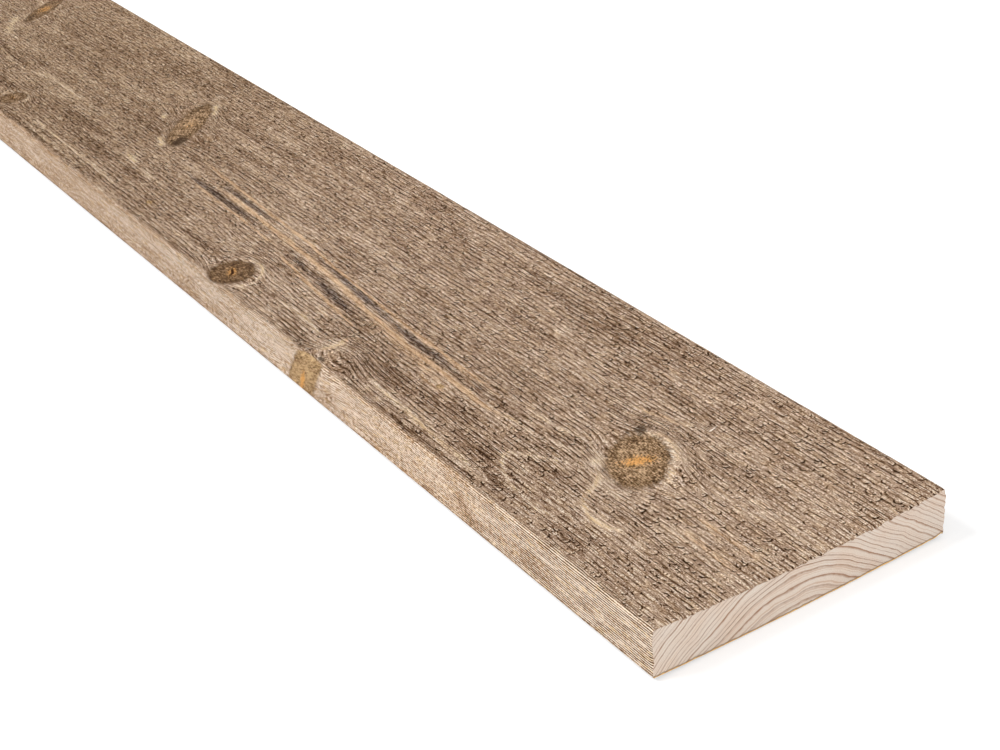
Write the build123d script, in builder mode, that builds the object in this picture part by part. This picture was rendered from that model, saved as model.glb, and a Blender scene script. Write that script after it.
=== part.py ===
from build123d import *
import os

# A cladding board, sawn from one piece of spruce to a nominal 22 x 145 mm.
# It lies face up: X runs along the board, Y across it and Z up.
# The origin is at the middle of its length and width, on the lowest line of the back.

# Driving dimensions, in millimetres
length = 2400.0          # both ends are cut square
width = 145.0
edge_thickness = 22.0    # at the two long edges
face_hollow = 2.7        # the board has cupped: the middle of the face lies this far below its arrises,
back_crown = 1.2         # and the middle of the back stands this far out from its own
face_arris_radius = 1.6  # the four long corners are eased, those of the face a little more
back_arris_radius = 1.2

# The section, worked out from them
half_width = width / 2
back_arris_height = back_crown
face_arris_height = back_arris_height + edge_thickness
face_middle_height = face_arris_height - face_hollow

with BuildPart() as board:
    with BuildSketch(Plane.YZ) as section:
        with BuildLine():
            # The back bows down from one arris to the other, and touches the ground in the middle
            back = ThreePointArc((-half_width, back_arris_height), (0, 0), (half_width, back_arris_height))
            # The two long edges are straight and upright
            left_edge = Line(back @ 0, (-half_width, face_arris_height))
            right_edge = Line(back @ 1, (half_width, face_arris_height))
            # The sawn face is hollow, because it is the side of the board that lay towards the bark
            ThreePointArc(left_edge @ 1, (0, face_middle_height), right_edge @ 1)
        make_face()
        fillet(section.vertices().group_by(Axis.Y)[-1], radius=face_arris_radius)
        fillet(section.vertices().group_by(Axis.Y)[0], radius=back_arris_radius)
    extrude(amount=length / 2, both=True)

os.makedirs("parts", exist_ok=True)
board.part.label = "board"
export_step(board.part, "parts/board.step")
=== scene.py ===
import math

import bpy
import numpy as np
from mathutils import Matrix


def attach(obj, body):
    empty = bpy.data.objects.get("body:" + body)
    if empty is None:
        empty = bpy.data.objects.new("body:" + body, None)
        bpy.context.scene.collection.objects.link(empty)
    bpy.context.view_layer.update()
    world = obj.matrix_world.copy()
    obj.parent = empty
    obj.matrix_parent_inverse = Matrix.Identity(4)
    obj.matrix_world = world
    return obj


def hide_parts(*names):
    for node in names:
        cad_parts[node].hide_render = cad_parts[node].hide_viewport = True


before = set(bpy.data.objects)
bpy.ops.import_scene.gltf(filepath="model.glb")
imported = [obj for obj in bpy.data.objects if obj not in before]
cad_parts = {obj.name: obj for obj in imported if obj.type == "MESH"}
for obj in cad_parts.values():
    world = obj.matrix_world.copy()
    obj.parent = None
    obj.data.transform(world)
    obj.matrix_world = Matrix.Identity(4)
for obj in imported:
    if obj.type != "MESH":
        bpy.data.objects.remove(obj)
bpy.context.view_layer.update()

# A cladding board of spruce, sawn rough on its face and stained grey-brown, with bare ends.
# Lengths are in millimetres up to the point where a mesh is made, and metres from there on.
# "back" is the distance behind the front end, "over" the distance across from the near edge.
MM = 0.001
TURN = 2.0 * math.pi

# The section, the same as in the CAD model
length = 2400.0
width = 145.0
edge_thickness = 22.0
face_hollow = 2.7
back_crown = 1.2
face_arris_radius = 1.6
back_arris_radius = 1.2
half_width = width / 2
face_middle = back_crown + edge_thickness - face_hollow

# The roughness of the sawn skin is cut into the board, so nothing stands out of the CAD model's box
skin_depth = 0.22
rib_height = 0.08
fuzz_height = 0.08
pit_depth = 0.24
wide_pit_depth = 0.32
knot_sink = 0.10
pale_rise = 0.06
bark_depth = 0.30
crack_depth = 0.4
# How far a knocked arris and a chipped end reach, and how deep their main bites go
arris_reach = 1.6
ragged_depth = 0.30
chip_reach = 0.9
chip_depth = 0.75

# The ribs that the saw's teeth left along the face, and the finer ones along the edges
rib_pitch = 2.36
edge_rib_pitch = 1.09
# How far inboard of the near arris the edge's finish begins
edge_inboard = 2.0

# Mesh spacing. The ribs run along the board, so the mesh is finest across it; along it the rows stand
# closest over the first stretch, where the sawn face is seen from nearby, and at the chipped ends
row_steps = ((0.0, 0.45), (2.7, 1.45), (420.0, 2.2), (900.0, 3.4), (length - 2.7, 0.45))
face_step = 0.50
edge_step = 1.05
back_step = 3.6
end_grid = (200, 31)
arris_parts = 5
skin_lengths = 5

# Growth rings: the pith runs below the board, and each ring is an arch over it, flatter on the near side
pith_over = 71.0
pith_depth = 38.0
near_slope = 1.14
near_crown = 60.0
far_slope = 0.83
far_crown = 25.0
ring_tops = (3.7, 8.2, 12.8, 17.2, 19.6)
inner_ring = 4.5
outer_ring = 2.9
years = np.random.default_rng(12).uniform(0.45, 1.55, 60)

# The knots. back and over place the middle on the face, long and wide are its two diameters there, and turn
# is the slant of the long one, from the direction of the front end towards the far edge. tone runs from dark
# olive-brown, below 0, to ochre, heart is how much orange the middle has, crack how far it has split, and lie
# is the slant of the heart or crack.
face_knot_values = ("back", "over", "long", "wide", "turn", "tone", "heart", "crack", "lie")
face_knots = [dict(zip(face_knot_values, row)) for row in (
    (94, 66.2, 43, 27.5, -40, 0.16, 0.85, 0, 70),
    (357.5, 13.4, 27.5, 24, -42, -0.1, 0.75, 1, -38),
    (559, 85, 66, 18.5, -45, 0.1, 0.38, 0, -45),
    (675.5, 17, 20.5, 17, -60, 0, 0.5, 0.9, -20),
    (836, 101, 54, 14, -50, 0, 0.7, 0.5, -50),
    (195.5, 35, 4.6, 3.8, 0, 0.5, 0, 0, 0),
    (466, 17, 5, 3.5, 0, 0.6, 0, 0, 0),
    (1013, 44, 27, 23, 30, 0.1, 0.3, 0.6, 20),
    (1148, 118, 44, 15, 38, 0.4, 0.2, 0, 38),
    (1322, 28, 24, 22, -40, 0, 0.5, 0.8, -60),
    (1467, 81, 33, 26, -55, 0.3, 0.9, 0, 70),
    (1705, 122, 22, 18, 15, 0.1, 0.2, 0.7, -25),
    (1788, 52, 50, 16, -36, 0.5, 0.4, 0, -36),
    (1990, 20, 26, 24, 50, 0.1, 0.4, 0.9, 30),
    (2124, 93, 35, 27, -45, 0.3, 0.9, 0, 60),
    (2290, 37, 21, 18, -20, 0, 0.2, 0.6, -50),
)]
# The knots that come out at a long edge. side is -1 for the near edge, and rise is the height of the middle.
edge_knot_values = ("back", "rise", "long", "wide", "turn", "tone", "heart", "side")
edge_knots = [dict(zip(edge_knot_values, row)) for row in (
    (260, 11, 84, 20, 53, 0.5, 1, -1),
    (905, 14, 26, 15, 60, 0.7, 0.5, -1),
    (1580, 8, 30, 16, 50, 0.8, 0.7, -1),
    (430, 12, 30, 17, -50, 0.8, 0.6, 1),
    (1240, 9, 34, 17, 55, 0.75, 0.8, 1),
    (2060, 13, 24, 14, -40, 0.8, 0.4, 1),
)]
# The distance that stands for no knot, in radii, how far in from its edge an edge knot runs, and the half
# length and half width of a face knot's heart, in radii
no_knot = 9.0
edge_knot_depth = 3.4
heart_half_long = 0.5
heart_half_wide = 0.24


def smooth_step(low, high, value):
    """s(t) = t^2 (3 - 2t), with t = (value - low) / (high - low) kept between 0 and 1."""
    t = np.clip((value - low) / (high - low), 0.0, 1.0)
    return t * t * (3.0 - 2.0 * t)


def chance(i, j, seed):
    """A number between 0 and 1 for each whole (i, j): the bits of i, j and seed, multiplied and folded."""
    mixed = (i.astype(np.int64) * 374761393 + j.astype(np.int64) * 668265263 + seed * 974634777) & 0xFFFFFFFF
    mixed = ((mixed ^ (mixed >> 13)) * 1274126177) & 0xFFFFFFFF
    mixed = ((mixed ^ (mixed >> 16)) * 2246822519) & 0xFFFFFFFF
    return ((mixed ^ (mixed >> 15)) & 0xFFFFFF) / float(0xFFFFFF)


def rolling(u, v, seed):
    """Value noise from -1 to 1: a chance number at each whole (u, v), blended by s(t) = t^2 (3 - 2t). Each
    use has a seed of its own, so no two move together."""
    i, j = np.floor(u), np.floor(v)
    s, t = u - i, v - j
    s, t = s * s * (3.0 - 2.0 * s), t * t * (3.0 - 2.0 * t)
    low = chance(i, j, seed) * (1.0 - s) + chance(i + 1, j, seed) * s
    high = chance(i, j + 1, seed) * (1.0 - s) + chance(i + 1, j + 1, seed) * s
    return 2.0 * (low * (1.0 - t) + high * t) - 1.0


def section_loop():
    """The board's section as one loop of points, with their outward normals, up the near edge, over the face,
    down the far edge and back under the board.
    Face: z = face_middle + face_hollow (y / half_width)^2. Back: z = back_crown (y / half_width)^2.
    Each arris is an arc of its radius that meets the upright edge and the slope of the face or back."""
    def arris(radius, middle, rise, upward):
        # The arc's centre lies one radius inside the edge, and its last point is on the curved side
        y = half_width - radius
        tilt = math.atan(2.0 * rise * y / half_width ** 2)
        sweep = 0.5 * math.pi + (tilt if upward else -tilt)
        angle = np.linspace(0.0, sweep, arris_parts + 1)
        touch = y + radius * math.cos(sweep)
        side = middle + rise * (touch / half_width) ** 2
        sign = 1.0 if upward else -1.0
        centre = side - sign * radius * math.sin(sweep)
        return np.c_[y + radius * np.cos(angle), centre + sign * radius * np.sin(angle),
                     np.cos(angle), sign * np.sin(angle)]

    def curved_side(reach, step, middle, rise, sign):
        y = np.linspace(-reach, reach, int(round(2.0 * reach / step)) + 1)[1:-1]
        slope = 2.0 * rise * y / half_width ** 2
        size = np.hypot(slope, 1.0)
        return np.c_[y, middle + rise * (y / half_width) ** 2, -sign * slope / size, sign / size]

    top = arris(face_arris_radius, face_middle, face_hollow, True)
    low = arris(back_arris_radius, 0.0, back_crown, False)
    rises = np.linspace(low[0, 1], top[0, 1], int(round((top[0, 1] - low[0, 1]) / edge_step)) + 1)[1:-1]
    upright = np.c_[np.full(len(rises), half_width), rises, np.ones(len(rises)), np.zeros(len(rises))]
    mirror = np.array([-1.0, 1.0, -1.0, 1.0])
    face = curved_side(top[-1, 0], face_step, face_middle, face_hollow, 1.0)
    under = curved_side(low[-1, 0], back_step, 0.0, back_crown, -1.0)
    parts = (low[::-1] * mirror, upright * mirror, top * mirror, face, top[::-1], upright[::-1], low,
             under[::-1])
    kinds = ("edge", "edge", "edge", "face", "edge", "edge", "edge", "back")
    loop = np.concatenate(parts)
    kind = np.concatenate([[name] * len(part) for name, part in zip(kinds, parts)])
    ahead = np.roll(loop[:, :2], -1, axis=0)
    girth = np.r_[0.0, np.cumsum(np.hypot(*(ahead - loop[:, :2]).T))]
    return loop, kind, girth


loop, loop_kind, loop_girth = section_loop()
columns = len(loop)
# The distance round the section is counted from the near top arris, which is nought
near_arris = int(np.argmax(loop_kind == "face"))
girth = loop_girth[:-1] - loop_girth[near_arris]


def stations():
    """The places of the mesh's rows behind the front end, each stretch divided evenly by about its step."""
    starts = [start for start, step in row_steps] + [length]
    runs = [np.linspace(start, end, int(round((end - start) / step)) + 1)[:-1]
            for (start, step), end in zip(row_steps, starts[1:])]
    return np.r_[np.concatenate(runs), length]


rows = stations()
back, around = np.meshgrid(rows, girth, indexing="ij")
over = np.broadcast_to(loop[:, 0] + half_width, back.shape)
rise = np.broadcast_to(loop[:, 1], back.shape)
on_face, on_back, on_edge = (np.broadcast_to(loop_kind == kind, back.shape)
                             for kind in ("face", "back", "edge"))


def knot_distance(knot, across, along):
    """How many radii (across, along) lies from a knot's middle: the length of (p / (long / 2), q / (wide /
    2)), where p and q are the offsets turned by the knot's slant."""
    angle = math.radians(knot["turn"])
    p = along * math.cos(angle) + across * math.sin(angle)
    q = across * math.cos(angle) - along * math.sin(angle)
    return np.hypot(p / (0.5 * knot["long"]), q / (0.5 * knot["wide"]))


def branches(back, over, rise):
    """The knots as branches that leave the pith: a face knot's middle at depth d below the face lies on the
    line to the pith, and its radius shrinks in the same proportion. Returns the distance from the nearest
    branch in radii, its tone, its heart, exp(-(p / half length)^2 - (q / half width)^2) with p, q the offsets
    turned by its lie, and its crack, a thinner line of the same kind that wanders."""
    nearest = np.full(back.shape, no_knot)
    tone = np.zeros(back.shape)
    heart = np.zeros(back.shape)
    crack = np.zeros(back.shape)
    for number, knot in enumerate(face_knots):
        top = face_middle + face_hollow * ((knot["over"] - half_width) / half_width) ** 2
        share = (rise + pith_depth) / (top + pith_depth)
        middle = pith_over + (knot["over"] - pith_over) * share
        along, aside = (knot["back"] - back) / share, (over - middle) / share
        reach = knot_distance(knot, aside, along)
        inside = reach < nearest
        nearest = np.where(inside, reach, nearest)
        tone = np.where(inside, knot["tone"], tone)
        radius = 0.25 * (knot["long"] + knot["wide"])
        lie = math.radians(knot["lie"])
        p = (along * math.cos(lie) + aside * math.sin(lie)) / radius
        q = (aside * math.cos(lie) - along * math.sin(lie)) / radius
        soft = np.exp(-(p / heart_half_long) ** 2 - (q / heart_half_wide) ** 2)
        heart = np.where(inside, soft * knot["heart"], heart)
        split = (q - 0.04 * np.sin(9.0 * p + number)) / 0.055
        crack = np.where(inside, knot["crack"] * np.exp(-split ** 2) * smooth_step(0.42, 0.15, np.abs(p)),
                         crack)
    for knot in edge_knots:
        side = np.where(knot["side"] < 0, over, width - over)
        along, aside = knot["back"] - back, rise - knot["rise"]
        reach = np.hypot(knot_distance(knot, aside, along), side / edge_knot_depth)
        inside = reach < nearest
        nearest = np.where(inside, reach, nearest)
        tone = np.where(inside, knot["tone"], tone)
        lie = math.radians(knot["turn"] + 10.0)
        p, q = along * math.cos(lie) + aside * math.sin(lie), aside * math.cos(lie) - along * math.sin(lie)
        heart = np.where(inside, np.exp(-((p + 4.5) / 8.0) ** 2 - (q / 2.1) ** 2) * knot["heart"], heart)
        crack = np.where(inside, 0.0, crack)
    return nearest, tone, heart, crack


def ring_count(back, over, rise):
    """The growth ring at a place: its height h = rise + slope (sqrt(d^2 + crown^2) - crown) over the pith
    line, with d the distance from it, bent by slow waves and by each branch, then counted off by the rings'
    tops. Some years grew half as wide as others."""
    aside = over - pith_over - 5.0 * rolling(back / 420.0, back * 0.0, 11)
    near = near_slope * (np.sqrt(aside ** 2 + near_crown ** 2) - near_crown)
    far = far_slope * (np.sqrt(aside ** 2 + far_crown ** 2) - far_crown)
    arch = rise + np.where(aside < 0.0, near, far)
    arch = arch + 0.9 * rolling(over / 11.0 + 3.0, rise / 9.0 + back / 260.0, 12)
    arch = arch + 0.3 * rolling(over / 3.4, rise / 3.0 + back / 90.0, 14)
    arch = arch + 2.2 * smooth_step(20.0, 160.0, back) * rolling(back / 310.0 + 0.4, over / 60.0, 13)
    arch = arch + back * 0.004
    for knot in face_knots:
        size = 0.5 * knot["wide"]
        reach = np.hypot((back - knot["back"]) / (1.7 * size), (over - knot["over"]) / (1.2 * size))
        arch = arch + 0.45 * size * np.exp(-reach ** 2)
    tops = np.array(ring_tops)
    low = tops[0] - inner_ring * np.arange(12, 0, -1)
    high = tops[-1] + outer_ring * np.cumsum(years)
    heights = np.r_[low, tops, high]
    return np.interp(arch, heights, np.arange(len(heights), dtype=float))


def grain_across(back, around):
    """The across-grain place of a fibre: its distance round the section, less what the knots push it aside.
    At x along the grain the middle of a slanting knot lies at c x from its own, and a fibre at t from there
    counts as t (1 - w), with w = part exp(m - m r^2), or part inside. r is the distance in radii of the knot
    drawn out along the grain. So the fibres part before the knot, hug its sides and close behind it."""
    m, part, drawn_out = 1.3, 0.38, 1.2
    shifted = around.copy()
    bent = [(knot, knot["over"]) for knot in face_knots]
    bent += [(knot, knot["rise"] - back_crown - edge_thickness) for knot in edge_knots if knot["side"] < 0]
    for knot, middle in bent:
        angle = math.radians(knot["turn"])
        long, wide = (0.5 * knot["long"]) ** -2, (0.5 * knot["wide"]) ** -2
        a = long * math.cos(angle) ** 2 + wide * math.sin(angle) ** 2
        b = (long - wide) * math.sin(angle) * math.cos(angle)
        c = long * math.sin(angle) ** 2 + wide * math.cos(angle) ** 2
        along = knot["back"] - back
        aside = around - middle + b / c * along * np.exp(-(a - b * b / c) * along ** 2)
        reach = (a - b * b / c) * (along / drawn_out) ** 2 + c * aside ** 2
        shifted = shifted - aside * part * np.exp(np.minimum(0.0, m - m * reach))
    return shifted


def along_path(points, back, over, half, fade):
    """A line through given (back, over) points: exp(-(d / half)^2), with d the distance from the line,
    which is a Catmull-Rom curve through the points. fade is the length over which its two ends die away."""
    place = np.array(points, float)
    ends = np.vstack([2.0 * place[0] - place[1], place, 2.0 * place[-1] - place[-2]])
    t = np.linspace(0.0, 1.0, 7)[:-1, None]
    pieces = [0.5 * (2 * b + (c - a) * t + (2 * a - 5 * b + 4 * c - d) * t ** 2
                     + (3 * b - a - 3 * c + d) * t ** 3)
              for a, b, c, d in zip(ends, ends[1:], ends[2:], ends[3:])]
    line = np.vstack(pieces + [place[-1:]])
    run = np.r_[0.0, np.cumsum(np.hypot(*np.diff(line, axis=0).T))]
    strength = np.zeros(back.shape)
    margin = 4.0 * half
    close = ((back > line[:, 0].min() - margin) & (back < line[:, 0].max() + margin)
             & (over > line[:, 1].min() - margin) & (over < line[:, 1].max() + margin))
    x, y = back[close], over[close]
    nearest = np.full(x.shape, 1e9)
    travelled = np.zeros(x.shape)
    for start, end, begun, done in zip(line, line[1:], run, run[1:]):
        step = end - start
        t = np.clip(((x - start[0]) * step[0] + (y - start[1]) * step[1]) / (step @ step), 0.0, 1.0)
        d = np.hypot(x - start[0] - t * step[0], y - start[1] - t * step[1])
        closer = d < nearest
        nearest = np.where(closer, d, nearest)
        travelled = np.where(closer, begun + t * (done - begun), travelled)
    ease = smooth_step(0.0, fade, travelled) * smooth_step(0.0, fade, run[-1] - travelled)
    strength[close] = np.exp(-(nearest / half) ** 2) * ease
    return strength


def patchwork(patches, back, over):
    """The strongest of some soft patches: each is strength exp(-(p / half length)^2 - (q / half width)^2),
    with p and q the offsets from its middle, turned by its slant."""
    strongest = np.zeros(back.shape)
    for place, across, half_long, half_wide, slant, strength in patches:
        angle = math.radians(slant)
        x, y = place - back, over - across
        p = x * math.cos(angle) + y * math.sin(angle)
        q = y * math.cos(angle) - x * math.sin(angle)
        soft = np.exp(-(p / half_long) ** 2 - (q / half_wide) ** 2)
        strongest = np.maximum(strongest, strength * soft)
    return strongest


# Where the latewood comes up through the stain as tan lines: (back, over) points, half width, fade, strength
tan_lines = (
    (((520, 68), (430, 63.5), (369, 61.2), (338, 58.2), (308, 56.5), (277, 54.1), (240, 52.8),
      (200, 51.9), (150, 52)), 0.9, 60, 0.85),
    (((475, 56), (430, 56.3), (370, 53.8), (322, 50.6), (292, 47.6), (262, 45), (230, 43), (180, 42),
      (140, 41.5)), 1.5, 50, 0.95),
    (((285, 46), (255, 43.5), (225, 40.5), (200, 38.5), (178, 39)), 4.6, 30, 0.42),
    (((215, 35.5), (200, 32.5), (186, 34.5)), 1.6, 8, 0.5),
    (((372, 42.5), (352, 41.6), (325, 38.6), (290, 35), (270, 32.5), (261, 28)), 0.9, 25, 0.9),
    (((261, 28), (257, 21), (256.5, 12), (259, 3)), 1.8, 5, 0.45),
    (((230, 51), (210, 50.5), (180, 49)), 0.8, 20, 0.5),
    (((97, 50), (91, 42.5), (87, 35), (83, 30.4), (76, 27.3), (68, 26.6), (60, 28), (54, 31)),
      1.6, 8, 0.42),
    (((504, 50), (480, 49), (400, 46.5), (350, 45.5)), 1.0, 40, 0.55),
    (((132, 91.5), (112, 95.5), (98, 97.6)), 1.6, 12, 0.45),
    (((113, 75), (105, 84.5), (92, 84.5), (82, 77), (76, 68), (75, 58)), 2.2, 10, 0.34),
    (((60, 60), (30, 59.5), (0, 59.4)), 1.6, 20, 0.5),
    (((55, 49), (30, 48.7), (0, 49)), 1.4, 20, 0.45),
    (((195, 11.2), (165, 10.3), (130, 9)), 1.5, 20, 0.45),
    (((1290, 66), (1200, 60), (1100, 57), (1060, 58)), 1.1, 60, 0.8),
    (((1290, 57), (1180, 50), (1090, 49)), 1.0, 60, 0.7),
    (((1980, 66), (1880, 60), (1800, 70), (1700, 74)), 1.1, 60, 0.8),
    (((2010, 52), (1900, 47), (1850, 42)), 1.0, 40, 0.6),
)
# Pale fibre: halos round the knots, thin lines where the fibre closes behind them, and worn strips
pale_lines = (
    (((98, 50), (91, 42.5), (87, 35), (83, 30.4), (76, 27.3), (68, 26.6), (60, 28), (54, 31)),
      1.7, 8, 0.75),
    (((113, 75), (105, 84), (92, 84), (82, 76), (76, 67), (74, 58)), 3.0, 8, 0.6),
    (((102, 47.2), (112, 41.5), (123, 34.2), (132, 26.6), (123, 19.7), (111, 15.5), (92, 13.3),
      (77, 14.5)), 1.2, 8, 0.7),
    (((104, 60), (104, 52), (100, 47)), 2.2, 5, 0.6),
    (((170, 43.5), (142, 44.5), (126, 48), (112, 52.5)), 0.9, 14, 0.75),
    (((160, 55), (140, 55.5), (124, 58), (113, 62)), 0.8, 14, 0.6),
    (((140, 90), (120, 93), (98, 98)), 1.3, 12, 0.6),
    (((367, 24), (362, 28.5), (352, 28), (343, 22), (339.5, 14), (343, 4)), 1.0, 6, 0.95),
    (((371, 14), (370, 22), (366, 27)), 0.8, 4, 0.6),
    (((322, 14), (312, 17.5), (300, 19.3), (283, 18.7), (264, 13)), 1.5, 12, 0.75),
    (((330, 36), (300, 32), (275, 28)), 3.0, 20, 0.35),
    (((260, 26), (257, 16), (259, 4)), 2.0, 6, 0.85),
    (((252.5, 19.5), (251.8, 10), (248.5, 2)), 0.8, 5, 0.7),
    (((230, 12), (190, 11.5), (150, 9.6), (110, 8)), 1.7, 25, 0.75),
    (((577, 112), (568, 107), (561, 101)), 2.2, 4, 1.0),
    (((592, 121), (584, 116), (577, 112)), 1.2, 6, 0.6),
    (((587, 79), (576, 78)), 2.0, 4, 1.0),
    (((555, 64.5), (546, 60), (538, 56.5)), 2.2, 4, 1.0),
    (((543, 38), (533, 36.5), (523, 35)), 2.2, 5, 1.0),
    (((512, 34), (492, 32)), 2.4, 8, 0.5),
    (((640, 15), (590, 13.5), (540, 13.5), (490, 12)), 0.9, 25, 0.6),
    (((640, 7), (590, 6.5), (530, 6)), 0.9, 25, 0.6),
    (((800, 49), (740, 43.5), (710, 47), (690, 51), (640, 51)), 1.0, 25, 0.6),
    (((686, 22), (678, 27.5), (667, 24), (664, 15)), 1.0, 6, 0.6),
    (((843, 84), (826, 74), (806, 62), (798, 60)), 3.4, 12, 0.7),
)
# Where the earlywood has drunk the stain and torn up: place, across, half length, half width, slant, strength
dark_patches = (
    (222, 22, 24, 8, -4, 0.75), (235, 29, 20, 6, 10, 0.55), (172, 27, 24, 8, 0, 0.8),
    (140, 21, 15, 6, 0, 0.85), (113, 10, 12, 2.8, -20, 0.8), (60, 43, 12, 6, 40, 0.6),
    (65, 10, 12, 5, 0, 0.5), (302, 41, 32, 3.2, -9, 0.72), (345, 46, 26, 2.4, -9, 0.5),
    (300, 53.2, 50, 3.0, -5, 0.66), (235, 48.6, 36, 2.8, -2, 0.66), (350, 34, 18, 6, 12, 0.65),
    (284, 9, 20, 4.4, -12, 0.9), (112, 82, 6, 4.5, 0, 0.4), (118, 96, 9, 4, 18, 0.5),
    (124, 54.5, 14, 1.6, 22, 0.8), (132, 49.5, 18, 1.6, 14, 0.8), (122, 43, 13, 2.2, 30, 0.75),
    (107, 36, 16, 5, 30, 0.5), (93, 41, 6, 3.4, -60, 0.6), (76, 83, 9, 2.4, -25, 0.55),
    (64, 76, 9, 2.4, -20, 0.5), (172, 48.5, 26, 1.8, 0, 0.6), (570, 27.5, 24, 4.6, 0, 1.0),
    (508, 27, 20, 3.4, 0, 0.85), (578, 68, 17, 6, -10, 0.5), (446, 51.5, 46, 2.2, 0, 0.72),
    (430, 60, 32, 2.0, 0, 0.68), (408, 16.5, 24, 2.6, 4, 0.9), (400, 3.5, 22, 2.4, 0, 0.7),
    (485, 11.5, 40, 1.8, 3, 0.7), (600, 11, 40, 1.4, 3, 0.6), (600, 4.5, 60, 2.2, 0, 0.5),
    (762, 49, 34, 2.6, -3, 0.9), (705, 22, 16, 5, 0, 0.6), (664, 26, 10, 4, 0, 0.5),
    (612, 35, 26, 9, 0, 0.4), (170, 4, 50, 2.2, 0, 0.8), (40, 3, 26, 1.6, 0, 0.4),
    (193, 122, 46, 15, 0, 0.45), (340, 112, 60, 20, 0, 0.15), (455, 126, 40, 9, 0, 0.2),
    (640, 118, 70, 9, 0, 0.2), (735, 96, 60, 12, 0, 0.2), (960, 30, 60, 10, 0, 0.5),
    (1120, 53, 60, 3, -4, 0.8), (1240, 62, 40, 3, 5, 0.7), (1390, 40, 50, 10, 0, 0.6),
    (1540, 25, 70, 8, 0, 0.5), (1660, 90, 60, 7, 0, 0.4), (1840, 63, 50, 3, -5, 0.8),
    (1930, 52, 44, 3, 4, 0.7), (2080, 50, 60, 9, 0, 0.5), (2230, 75, 50, 6, 0, 0.4),
    (2350, 30, 40, 8, 0, 0.4),
)
# Bark that the knots have shut in
bark_patches = (
    (112.6, 82, 4.2, 3.6, -40, 1.1), (118, 95, 2.2, 1.2, 30, 0.8), (114, 76, 2.6, 2.0, 0, 0.8),
    (540, 69.5, 9.5, 4.6, -50, 1.15), (577, 99, 14, 1.8, -48, 0.75), (249, 5, 3, 2.4, 0, 1.0),
    (828, 88, 5.5, 3.2, -50, 0.9), (1478, 92, 5, 3, -40, 0.9), (2135, 104, 5, 3, -40, 0.9),
)
# Where the near edge is dark: the same values, with heights in place of the distances across
edge_patches = (
    (72, 9, 17, 7, 0, 0.9), (122, 9, 16, 4.4, -38, 0.9), (152, 4, 8, 3, 0, 0.7), (28, 14, 12, 3, 0, 0.35),
    (200, 16, 24, 3, 0, 0.3), (186, 6, 16, 3, 0, 0.4), (238, 12, 8, 6, 50, 0.5), (380, 12, 26, 7, 20, 0.45),
    (335, 15, 10, 3, 0, 0.5), (352, 6, 14, 4, 0, 0.3), (430, 9, 12, 6, 0, 0.3), (560, 12, 30, 5, 0, 0.2),
)


def figure(back, over, rise):
    """The figure of the face and the near edge: tan latewood, dark earlywood, pale fibre and bark, from 0
    to about 1. Each is the strongest of its own lines or patches."""
    tan = np.zeros(back.shape)
    pale = np.zeros(back.shape)
    # The lines waver, and they are worn through in places
    place = back + 1.2 * rolling(back / 9.0, over / 4.0, 61)
    beside = over + 0.5 * rolling(back / 14.0, over / 3.0, 62)
    worn = 0.86 + 0.14 * rolling(back / 5.0, over / 2.0, 63)
    for points, half, fade, strength in tan_lines:
        tan = np.maximum(tan, strength * along_path(points, place, beside, 1.1 * half, fade))
        pale = np.maximum(pale, 0.4 * strength * along_path(points, place, beside, 2.0 * half, fade))
    for points, half, fade, strength in pale_lines:
        pale = np.maximum(pale, strength * along_path(points, place, beside, half, fade))
    tan, pale = tan * worn, pale * worn
    near_edge = on_edge & (over < 3.0)
    dark = on_face * patchwork(dark_patches, back, over) + near_edge * patchwork(edge_patches, back, rise)
    bark = patchwork(bark_patches, back, over)
    return on_face * tan, dark, on_face * pale, on_face * bark


across = grain_across(back, around)
reach, tone, heart, crack = branches(back, over, rise)
rings = ring_count(back, over, rise)
tan, dark, pale, bark = figure(back, over, rise)
# The stain is thinnest by the front end, and lies darker from half a metre behind it
front_stain = 0.15
rear_stain = 0.27
thinner = smooth_step(110.0, 60.0, back) * smooth_step(105.0, 75.0, over)
stained = front_stain * smooth_step(60.0, 140.0, back) + rear_stain * smooth_step(380.0, 620.0, back)
dark = np.minimum(1.0, dark + (stained - front_stain * thinner) * on_face)
far_arris = girth[loop_kind == "face"][-1]


def rib_count(back, across, around):
    """How many ribs lie between a place and the near arris, whole at the bottom of a furrow: the distance
    across the grain over the rib pitch, moved by noise(back / 30, across / 7) and noise(back / 9, across /
    3). From 2 mm inboard of the near arris the ribs are the finer ones of the edge."""
    on_edges = np.minimum(around - edge_inboard, 0.0) + np.maximum(around - far_arris, 0.0)
    count = (across - on_edges) / rib_pitch + on_edges / edge_rib_pitch
    wander = 0.42 * rolling(back / 30.0, across / 7.0, 51) + 0.14 * rolling(back / 9.0, across / 3.0, 52)
    return count + wander * np.where(on_edges == 0.0, 1.0, 0.12)


ribs = rib_count(back, across, around)


def edge_share(back, around):
    """How far the finish is the edge's instead of the face's: 1 on the upright edges, 0 on the face from 2
    mm inboard of the near arris. On the far side the stain ran over the arris. noise(back / 14) moves the
    borders."""
    waver = 0.9 * rolling(back / 14.0, around / 1.3, 53)
    return 1.0 - smooth_step(-2.0, 1.9, around + waver) * smooth_step(-7.0, -2.0, far_arris - around + waver)


edge = np.where(on_back, 0.0, edge_share(back, around))
# Between the tan lines the stain lies cooler and greyer
cool = dark * smooth_step(130.0, 200.0, back) * smooth_step(560.0, 480.0, back)
cool = cool * smooth_step(34.0, 41.0, over) * smooth_step(68.0, 60.0, over)


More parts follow.
